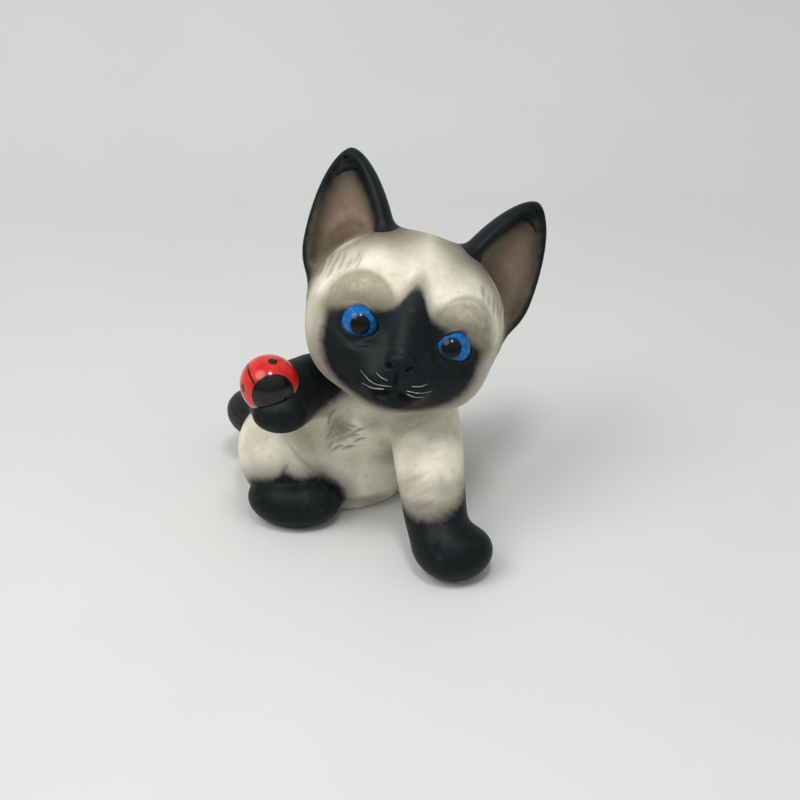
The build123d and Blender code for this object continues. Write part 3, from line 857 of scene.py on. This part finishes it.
def eye_glaze():
    """Glossy blue iris with lighter brush strokes round it and a large black pupil with a dark rim."""
    got = bpy.data.materials.get("painted_eye")
    if got:
        return got
    paint = bpy.context.scene.kitten
    f = Finish("painted_eye")
    gaze = f.attribute("gaze", "Vector")
    split = f.nodes.new("ShaderNodeSeparateXYZ")
    f.join(gaze, split.inputs[0])
    x, z = split.outputs[0], split.outputs[2]
    away = f.math("SQRT", f.math("ADD", f.math("MULTIPLY", x, x), f.math("MULTIPLY", z, z)))
    angle = f.math("ARCTAN2", z, x)
    ring = f.nodes.new("ShaderNodeCombineXYZ")
    f.join(f.math("COSINE", angle), ring.inputs[0])
    f.join(f.math("SINE", angle), ring.inputs[1])
    f.join(f.math("MULTIPLY", away, 0.12), ring.inputs[2])
    strokes = f.nodes.new("ShaderNodeTexNoise")
    strokes.inputs["Scale"].default_value = 5.0
    strokes.inputs["Detail"].default_value = 3.0
    f.join(ring.outputs[0], strokes.inputs["Vector"])
    streak = f.ramp(strokes.outputs["Fac"], 0.42, 0.62)
    iris = f.mix(streak, paint.iris, paint.iris_light)
    iris = f.mix(f.math("MULTIPLY", f.ramp(f.noise(2.0), 0.4, 0.6), 0.3), iris, paint.iris)
    wobble = f.math("ADD", away, f.math("MULTIPLY", f.math("SUBTRACT", f.noise(1.2), 0.5), 0.35))
    pupil = f.ramp(wobble, 2.42, 2.12)
    rim = f.math("MULTIPLY", f.ramp(wobble, 2.8, 2.4), 0.6)
    iris = f.mix(rim, iris, paint.iris_deep)
    f.join(f.mix(pupil, iris, paint.black), f.shader.inputs["Base Color"])
    f.shader.inputs["Roughness"].default_value = 0.2
    f.shader.inputs["Specular IOR Level"].default_value = 0.08
    f.shader.inputs["Coat Weight"].default_value = 0.28
    f.shader.inputs["Coat Roughness"].default_value = 0.03
    f.bump(f.noise(1.5), 0.1, 0.05)
    return f.material


def ladybug_glaze():
    """Glossy red glaze with hand-painted black, thinner at its edges."""
    paint = bpy.context.scene.kitten
    f = Finish("painted_ladybug")
    grain = f.noise(0.8)
    black = f.math("ADD", f.attribute("black"), f.math("MULTIPLY", f.math("SUBTRACT", grain, 0.5), 0.25))
    cover = f.ramp(black, 0.12, -0.12)
    red = f.mix(f.ramp(f.noise(3.5), 0.35, 0.65), paint.red, paint.red_light)
    red = f.mix(f.math("MULTIPLY", f.attribute("rim"), 0.7), red, paint.red_pale)
    f.join(f.mix(cover, red, paint.black), f.shader.inputs["Base Color"])
    f.shader.inputs["Roughness"].default_value = 0.25
    f.shader.inputs["Specular IOR Level"].default_value = 0.1
    f.shader.inputs["Coat Weight"].default_value = 0.6
    f.shader.inputs["Coat Roughness"].default_value = 0.04
    f.bump(f.noise(2.2), 0.12, 0.08)
    return f.material


def whisker_paint():
    """White brush strokes, thin enough in places for the dark to show."""
    paint = bpy.context.scene.kitten
    f = Finish("whisker_paint")
    white = f.mix(f.ramp(f.noise(0.7), 0.35, 0.7), paint.whisker, paint.whisker_thin)
    f.join(white, f.shader.inputs["Base Color"])
    f.shader.inputs["Roughness"].default_value = 0.4
    return f.material


def backdrop_paper():
    """Pale seamless paper with a faint tooth."""
    paint = bpy.context.scene.kitten
    f = Finish("backdrop_paper")
    paper = f.mix(f.ramp(f.noise(60), 0.3, 0.7), paint.floor, paint.floor_shade)
    f.join(paper, f.shader.inputs["Base Color"])
    f.shader.inputs["Roughness"].default_value = 0.75
    f.bump(f.noise(1.5), 0.05, 0.05)
    return f.material


# ---------------------------------------------------------------- settings
def colour(name, description, value):
    """A colour that a user can change."""
    return bpy.props.FloatVectorProperty(name=name, description=description, default=value, size=3,
                                         min=0, max=1, subtype="COLOR")


class KittenSettings(bpy.types.PropertyGroup):
    """Sizes and colours that a user would change."""
    cream: colour("Cream", "Bare bisque body", (0.86, 0.815, 0.675))
    cream_shade: colour("Cream shade", "Bisque where the airbrush has drifted", (0.69, 0.65, 0.515))
    tan: colour("Tan", "Brows", (0.34, 0.315, 0.225))
    lining: colour("Lining", "Hollows of the ears", (0.235, 0.18, 0.12))
    lining_pink: colour("Lining pink", "Hollows of the ears where they are rosier", (0.30, 0.19, 0.14))
    # brown also gives painted shade: in the drifts under the chin, along the creases and at the belly's
    # undercut, and in the ears' folds
    brown: colour("Brown", "Paint gathered in the strokes and at the soft edges", (0.10, 0.083, 0.055))
    dark: colour("Dark", "Seal points", (0.0045, 0.0065, 0.0070))
    dark_blue: colour("Blue-black", "Seal points where the paint is cooler", (0.007, 0.011, 0.013))
    dark_grey: colour("Worn dark", "Seal points where the paint is thin", (0.018, 0.023, 0.023))
    iris: colour("Iris", "Eye blue", (0.006, 0.10, 0.33))
    iris_light: colour("Iris light", "Brush strokes in the eye", (0.016, 0.17, 0.50))
    iris_deep: colour("Iris rim", "Blue next to the pupil", (0.005, 0.03, 0.10))
    black: colour("Black", "Pupils and the ladybug's markings", (0.004, 0.004, 0.005))
    red: colour("Red", "Ladybug", (0.52, 0.010, 0.008))
    red_light: colour("Red light", "Ladybug where the glaze is thin", (0.68, 0.03, 0.02))
    red_pale: colour("Red pale", "Ladybug's worn rim", (0.75, 0.30, 0.26))
    whisker: colour("Whisker", "White brush strokes", (0.62, 0.62, 0.60))
    whisker_thin: colour("Whisker thin", "White where the brush ran dry", (0.20, 0.21, 0.22))
    floor: colour("Floor", "Paper the kitten sits on", (0.700, 0.707, 0.692))
    floor_shade: colour("Floor shade", "Paper's faint unevenness", (0.683, 0.692, 0.684))
    whisker_width: bpy.props.FloatProperty(name="Whisker width", description="Width of a whisker's stroke",
                                           default=0.20 * MM, min=0.1 * MM, max=0.6 * MM, unit="LENGTH")
    key_power: bpy.props.FloatProperty(name="Key light", description="Power of the large upper left lamp",
                                       default=1.8, min=0.1, max=50, unit="POWER")
    fill: bpy.props.FloatProperty(name="Fill light", description="Brightness of the room round the kitten",
                                  default=0.53, min=0, max=4, subtype="FACTOR")
    lens: bpy.props.FloatProperty(name="Lens", description="Focal length of the camera", default=65 * MM,
                                  min=20 * MM, max=200 * MM, unit="LENGTH")


# ---------------------------------------------------------------- pieces
class KITTEN_OT_torso(bpy.types.Operator):
    """Build the seated body with its flat foot and the rim under its belly"""
    bl_idname = "kitten.torso"
    bl_label = "Torso"

    def execute(self, context):
        heights = np.linspace(9, 40, 12)
        x, f = (eased(heights, TORSO_OVALS[:, 0], TORSO_OVALS[:, i]) for i in (1, 2))
        spine = BODY_AT + np.stack([x, -f, heights], 1) @ BODY_TURN.T
        start, ray = capsule_rays(spine, 110, (56, 40), 260, (0, 1, 0))
        piece = carved("torso", start, ray, paint_body)
        on_frame(piece, bisque("painted_bisque_cream"), "bisque_cream", "torso")
        return {"FINISHED"}


class KITTEN_OT_head(bpy.types.Operator):
    """Build the head with its mask, brows, eye openings, nose and mouth"""
    bl_idname = "kitten.head"
    bl_label = "Head"

    def execute(self, context):
        spine = np.array([in_head(0, 5, 1), in_head(0, 0, -1), in_head(0, -6, -3.5)])
        start, ray = capsule_rays(spine, 26, (60, 130), 380, HEAD_TURN @ np.array([0, 0, 1.0]))
        piece = carved("head", start, ray, paint_head)
        on_frame(piece, bisque("painted_bisque_cream"), "bisque_cream", "head")
        return {"FINISHED"}


class KITTEN_OT_ears(bpy.types.Operator):
    """Build both ears as cupped shells with a lining"""
    bl_idname = "kitten.ears"
    bl_label = "Ears"

    def execute(self, context):
        for side in SIDES:
            name = side + "_ear"
            start, ray, room = ear_rays(side)
            piece = carved(name, start, ray, paint_ear(side), room, weld=True)
            on_frame(piece, bisque("painted_bisque_points"), "bisque_points", name)
        return {"FINISHED"}


class KITTEN_OT_eyes(bpy.types.Operator):
    """Build both eye beads"""
    bl_idname = "kitten.eyes"
    bl_label = "Eyes"
    bl_description = "Balls with a slight swell in front: radius times 1 + 0.03 exp(-(angle / 0.6)^2)"
    pupils = {"right": (0.1, -0.65), "left": (-0.4, 0.0)}

    def execute(self, context):
        away = (pi * np.linspace(0, 1, 90) ** EYE_CROWDED)[:, None]
        round_it = np.linspace(0, 2 * pi, 120, endpoint=False)[None, :]
        radius = EYE_RADIUS * (1 + EYE_SWELL * np.exp(-((away / EYE_SWELL_OVER) ** 2)))
        local = np.stack([np.sin(away) * np.cos(round_it), -np.cos(away) + 0 * round_it,
                          np.sin(away) * np.sin(round_it)], -1) * radius[..., None]
        for side, sign in SIDES.items():
            pupil = self.pupils[side]
            gaze = local - np.array([pupil[0], 0, pupil[1]])
            at = in_head(sign * EYE_AT[0], EYE_AT[1], EYE_AT[2])
            piece = drawn(f"{side}_eye_bead", local @ HEAD_TURN.T + at, {"gaze": gaze})
            on_frame(piece, eye_glaze(), "eye_glaze", side + "_eye")
        return {"FINISHED"}


class KITTEN_OT_hind_legs(bpy.types.Operator):
    """Build both haunches and hind paws"""
    bl_idname = "kitten.hind_legs"
    bl_label = "Hind legs"

    def execute(self, context):
        for side in SIDES:
            along = BODY_TURN @ np.array([0, -1.0, 0])
            spine = HAUNCH_AT[side] + np.outer(np.linspace(-3, 3, 3), along)
            start, ray = capsule_rays(spine, 20, (60, 60), 190, (0, 0, 1))
            piece = carved(side + "_haunch", start, ray, paint_body)
            on_frame(piece, bisque("painted_bisque_cream"), "bisque_cream", side + "_haunch")
            along = HIND_PAW_TURN[side] @ HIND_PAW_LONG[side]
            spine = HIND_PAW_AT[side] + np.outer(np.linspace(-4, 4, 3), along)
            start, ray = capsule_rays(spine, 26, (44, 44), 160, (0, 0, 1))
            piece = carved(side + "_hind_paw", start, ray, paint_body)
            on_frame(piece, bisque("painted_bisque_points"), "bisque_points", side + "_hind_paw")
        return {"FINISHED"}


class KITTEN_OT_forelegs(bpy.types.Operator):
    """Build the planted foreleg and the raised one"""
    bl_idname = "kitten.forelegs"
    bl_label = "Forelegs"

    def execute(self, context):
        paw = np.array([[16.5, -31.0, 6.6]])
        spine = np.vstack([PLANTED[0][1:-1], paw])
        start, ray = capsule_rays(spine, 130, (30, 60), 200, (1, 0, 0))
        piece = carved("planted_foreleg", start, ray, paint_body)
        on_frame(piece, bisque("painted_bisque_cream"), "bisque_cream", "planted_foreleg")
        spine = np.vstack([RAISED[0][1:-1], [RAISED_PAW[0]]])
        start, ray = capsule_rays(spine, 90, (30, 80), 220, (0, 0, 1))
        piece = carved("raised_foreleg", start, ray, paint_body)
        on_frame(piece, bisque("painted_bisque_points"), "bisque_points", "raised_foreleg")
        return {"FINISHED"}


class KITTEN_OT_tail(bpy.types.Operator):
    """Build the tail that curls round the right haunch"""
    bl_idname = "kitten.tail"
    bl_label = "Tail"

    def execute(self, context):
        start, ray = capsule_rays(TAIL[0], 150, (24, 34), 110, (0.3, 0.5, 1.0))
        piece = carved("tail", start, ray, paint_body)
        on_frame(piece, bisque("painted_bisque_points"), "bisque_points", "tail")
        return {"FINISHED"}


LADYBUG_AT, LADYBUG_RADIUS = np.array([-27.2, -14.5, 43.1]), 7.0
# the black cap of its head and its spots: the way each faces from the ball's middle, and its radius
LADYBUG_MARKS = [((0.25, -0.97, 0.03), 5.6), ((0.17, -0.18, 0.97), 1.1), ((-0.86, -0.50, 0.12), 1.1),
                 ((0.71, 0.36, 0.62), 0.9), ((-0.75, 0.35, 0.6), 1.0), ((0.1, 0.75, 0.65), 1.0)]
WING_LINE_FACES, WING_LINE_HALF = (0.73, 0.01, 0.68), 0.26


class KITTEN_OT_ladybug(bpy.types.Operator):
    """Build the ladybug's ball with its head, spots and wing line"""
    bl_idname = "kitten.ladybug"
    bl_label = "Ladybug"
    bl_description = "A ball; a marking is where the angle from its middle is under its size"

    def execute(self, context):
        away = np.linspace(0, pi, 170)[:, None]
        round_it = np.linspace(0, 2 * pi, 260, endpoint=False)[None, :]
        local = np.stack([np.sin(away) * np.cos(round_it), np.sin(away) * np.sin(round_it),
                          np.cos(away) + 0 * round_it], -1)

        def facing(direction):
            """The cosine of the angle from a direction, over the ball."""
            return np.clip(local @ (np.array(direction) / np.linalg.norm(direction)), -1, 1)

        black = np.abs(LADYBUG_RADIUS * np.arcsin(facing(WING_LINE_FACES))) - WING_LINE_HALF
        for direction, size in LADYBUG_MARKS:
            black = np.minimum(black, LADYBUG_RADIUS * np.arccos(facing(direction)) - size)
        points = LADYBUG_AT + LADYBUG_RADIUS * local
        rim = np.exp(-((raised_form(points) / 0.5) ** 2))
        piece = drawn("ladybug_ball", points, {"black": black, "rim": rim})
        on_frame(piece, ladybug_glaze(), "ladybug_glaze", "ladybug")
        return {"FINISHED"}


# each whisker's brush stroke on the face, as (across, up) from its root to its tip
WHISKERS = [
    [(-1.5, -10.8), (-3.2, -10.5), (-4.8, -9.6)],
    [(-0.2, -11.9), (-4.7, -12.2), (-8.4, -10.1)],
    [(-1.7, -12.9), (-4.6, -13.4), (-7.3, -12.9)],
    [(3.9, -10.6), (6.0, -10.1), (7.8, -9.0)],
    [(3.0, -11.9), (6.3, -11.6), (9.4, -10.5)],
    [(3.4, -12.6), (5.6, -12.8), (7.8, -12.2)],
]
WHISKER_PROUD, WHISKER_SUNK = 0.13, 0.02     # half a stroke's thickness, and how far its middle is sunk


class KITTEN_OT_whiskers(bpy.types.Operator):
    """Lay the whiskers' brush strokes on the muzzle"""
    bl_idname = "kitten.whiskers"
    bl_label = "Whiskers"
    bl_description = "A flat oval section, drawn in at both ends, carried along a line on the face"

    def execute(self, context):
        half = context.scene.kitten.whisker_width / MM / 2
        form, finish = piece_form("head"), whisker_paint()
        a = np.linspace(0, 2 * pi, 10, endpoint=False)[None, :, None]
        for i, route in enumerate(WHISKERS):
            flat = np.array([(x, -9.0, z) for x, z in route])
            line, share = smooth_line(flat, np.linspace(0, 1, len(flat)), 12)
            start = line @ HEAD_TURN.T + HEAD_AT
            ray = np.broadcast_to(HEAD_FRONT, start.shape)
            on_face = out_to_skin(form, start, ray)
            along = np.gradient(on_face, axis=0)
            along /= np.linalg.norm(along, axis=1, keepdims=True)
            out = slope(on_face, form)
            across = np.cross(along, out)
            thin = (np.sqrt(np.clip(1 - (2 * share - 1) ** 4, 0, 1)) * (1 - 0.65 * share))[:, None, None]
            section = half * np.cos(a) * across[:, None] + WHISKER_PROUD * np.sin(a) * out[:, None]
            piece = drawn(f"whisker_{i + 1}", (on_face - WHISKER_SUNK * out)[:, None] + thin * section)
            on_frame(piece, finish, "bisque_points")
        return {"FINISHED"}


# ---------------------------------------------------------------- stage
CAMERA_LOOKS_AT = np.array([3.75, 0.0, 30.3])
CAMERA_RISE, CAMERA_AWAY = 30, 361.0
KEY_AT, KEY_SIZE = np.array([-330.0, -220.0, 540.0]), 400.0
GLINT_AT, GLINT_SIZE = np.array([25.0, -150.0, 420.0]), 90.0
SWEEP_STARTS, SWEEP_RADIUS = 200.0, 130.0     # how far behind the kitten the paper starts to rise
SWEEP_REACH, SWEEP_HEIGHT = 2400.0, 1500.0
GLINT_SHARE = 0.3                             # the small lamp's power as a share of the large one's
ROOM_LOW, ROOM_HIGH = (-0.2, 0.30), (0.9, 1.35)     # the room's brightness low down and high up


def aimed(thing, at, target):
    """Puts a lamp or camera at a place, looking at another."""
    thing.location = Vector((at + PLACE) * MM)
    thing.rotation_euler = (Vector((target - at) * MM)).to_track_quat("-Z", "Y").to_euler()


class KITTEN_OT_stage(bpy.types.Operator):
    """Set the paper sweep, the lamps and the camera"""
    bl_idname = "kitten.stage"
    bl_label = "Stage"
    bl_description = "The sweep's profile is flat, then a quarter circle, then upright, carried across"

    def execute(self, context):
        settings = context.scene.kitten
        quarter = np.linspace(0, pi / 2, 24)
        upright = SWEEP_STARTS + SWEEP_RADIUS
        depth = np.concatenate([[-SWEEP_REACH], SWEEP_STARTS + SWEEP_RADIUS * np.sin(quarter), [upright]])
        height = np.concatenate([[0], SWEEP_RADIUS * (1 - np.cos(quarter)), [SWEEP_HEIGHT]])
        x = np.linspace(-SWEEP_REACH, SWEEP_REACH, 3)[None, :]
        grid = np.stack([x + 0 * depth[:, None], depth[:, None] + 0 * x, height[:, None] + 0 * x], -1)
        rows, columns = grid.shape[:2]
        number = np.arange(rows * columns).reshape(rows, columns)
        quads = np.stack([number[:-1, :-1], number[:-1, 1:], number[1:, 1:], number[1:, :-1]], -1)
        quads = quads.reshape(-1, 4)
        mesh = bpy.data.meshes.new("paper_sweep")
        mesh.from_pydata((grid.reshape(-1, 3) * MM).tolist(), [], quads.tolist())
        mesh.polygons.foreach_set("use_smooth", np.ones(len(quads), bool))
        sweep = bpy.data.objects.new("paper_sweep", mesh)
        sweep.data.materials.append(backdrop_paper())
        key = bpy.data.objects.new("key_lamp", bpy.data.lights.new("key_lamp", "AREA"))
        key.data.shape, key.data.size = "DISK", KEY_SIZE * MM
        key.data.energy = settings.key_power
        key.data.color = (1.0, 0.985, 0.96)
        aimed(key, KEY_AT, CAMERA_LOOKS_AT)
        glint = bpy.data.objects.new("glint_lamp", bpy.data.lights.new("glint_lamp", "AREA"))
        glint.data.shape, glint.data.size = "DISK", GLINT_SIZE * MM
        glint.data.energy = GLINT_SHARE * settings.key_power
        aimed(glint, GLINT_AT, CAMERA_LOOKS_AT)
        camera = bpy.data.objects.new("camera", bpy.data.cameras.new("camera"))
        away = CAMERA_AWAY * np.array([0, -cos(radians(CAMERA_RISE)), sin(radians(CAMERA_RISE))])
        aimed(camera, CAMERA_LOOKS_AT + away, CAMERA_LOOKS_AT)
        camera.data.lens = settings.lens / MM
        camera.data.clip_start, camera.data.clip_end = 0.01, 20
        for thing in (sweep, key, glint, camera):
            context.collection.objects.link(thing)
        context.scene.camera = camera
        world = bpy.data.worlds.new("room")
        world.use_nodes = True
        nodes, links = world.node_tree.nodes, world.node_tree.links
        place, split = nodes.new("ShaderNodeTexCoord"), nodes.new("ShaderNodeSeparateXYZ")
        climb = nodes.new("ShaderNodeMapRange")
        for end, (height_share, brightness) in (("Min", ROOM_LOW), ("Max", ROOM_HIGH)):
            climb.inputs["From " + end].default_value = height_share
            climb.inputs["To " + end].default_value = brightness
        shade = nodes.new("ShaderNodeMix")
        shade.data_type = "RGBA"
        shade.inputs[6].default_value, shade.inputs[7].default_value = (0, 0, 0, 1), (0.97, 0.99, 1.0, 1)
        shade.clamp_factor = False
        links.new(place.outputs["Generated"], split.inputs[0])
        links.new(split.outputs[2], climb.inputs["Value"])
        links.new(climb.outputs[0], shade.inputs[0])
        links.new(shade.outputs[2], nodes["Background"].inputs["Color"])
        nodes["Background"].inputs["Strength"].default_value = settings.fill
        context.scene.world = world
        context.scene.view_settings.view_transform = "Standard"
        return {"FINISHED"}


BUILDERS = [KITTEN_OT_torso, KITTEN_OT_head, KITTEN_OT_ears, KITTEN_OT_eyes, KITTEN_OT_hind_legs,
            KITTEN_OT_forelegs, KITTEN_OT_tail, KITTEN_OT_ladybug, KITTEN_OT_whiskers, KITTEN_OT_stage]


class KITTEN_PT_panel(bpy.types.Panel):
    bl_label = "Bisque kitten"
    bl_idname = "KITTEN_PT_panel"
    bl_space_type = "VIEW_3D"
    bl_region_type = "UI"
    bl_category = "Kitten"

    def draw(self, context):
        for builder in BUILDERS:
            self.layout.operator(builder.bl_idname)
        for name in KittenSettings.__annotations__:
            self.layout.prop(context.scene.kitten, name)


def register():
    """Make the settings, the builders and the panel known."""
    for kind in [KittenSettings, *BUILDERS, KITTEN_PT_panel]:
        bpy.utils.register_class(kind)
    bpy.types.Scene.kitten = bpy.props.PointerProperty(type=KittenSettings)


def unregister():
    """Take them away again."""
    del bpy.types.Scene.kitten
    for kind in reversed([KittenSettings, *BUILDERS, KITTEN_PT_panel]):
        bpy.utils.unregister_class(kind)


def main():
    """Build every piece in order."""
    register()
    for builder in BUILDERS:
        group, name = builder.bl_idname.split(".")
        if getattr(getattr(bpy.ops, group), name)() != {"FINISHED"}:
            raise RuntimeError(f"{builder.bl_label} wasn't finished")


if __name__ == "__main__":
    main()
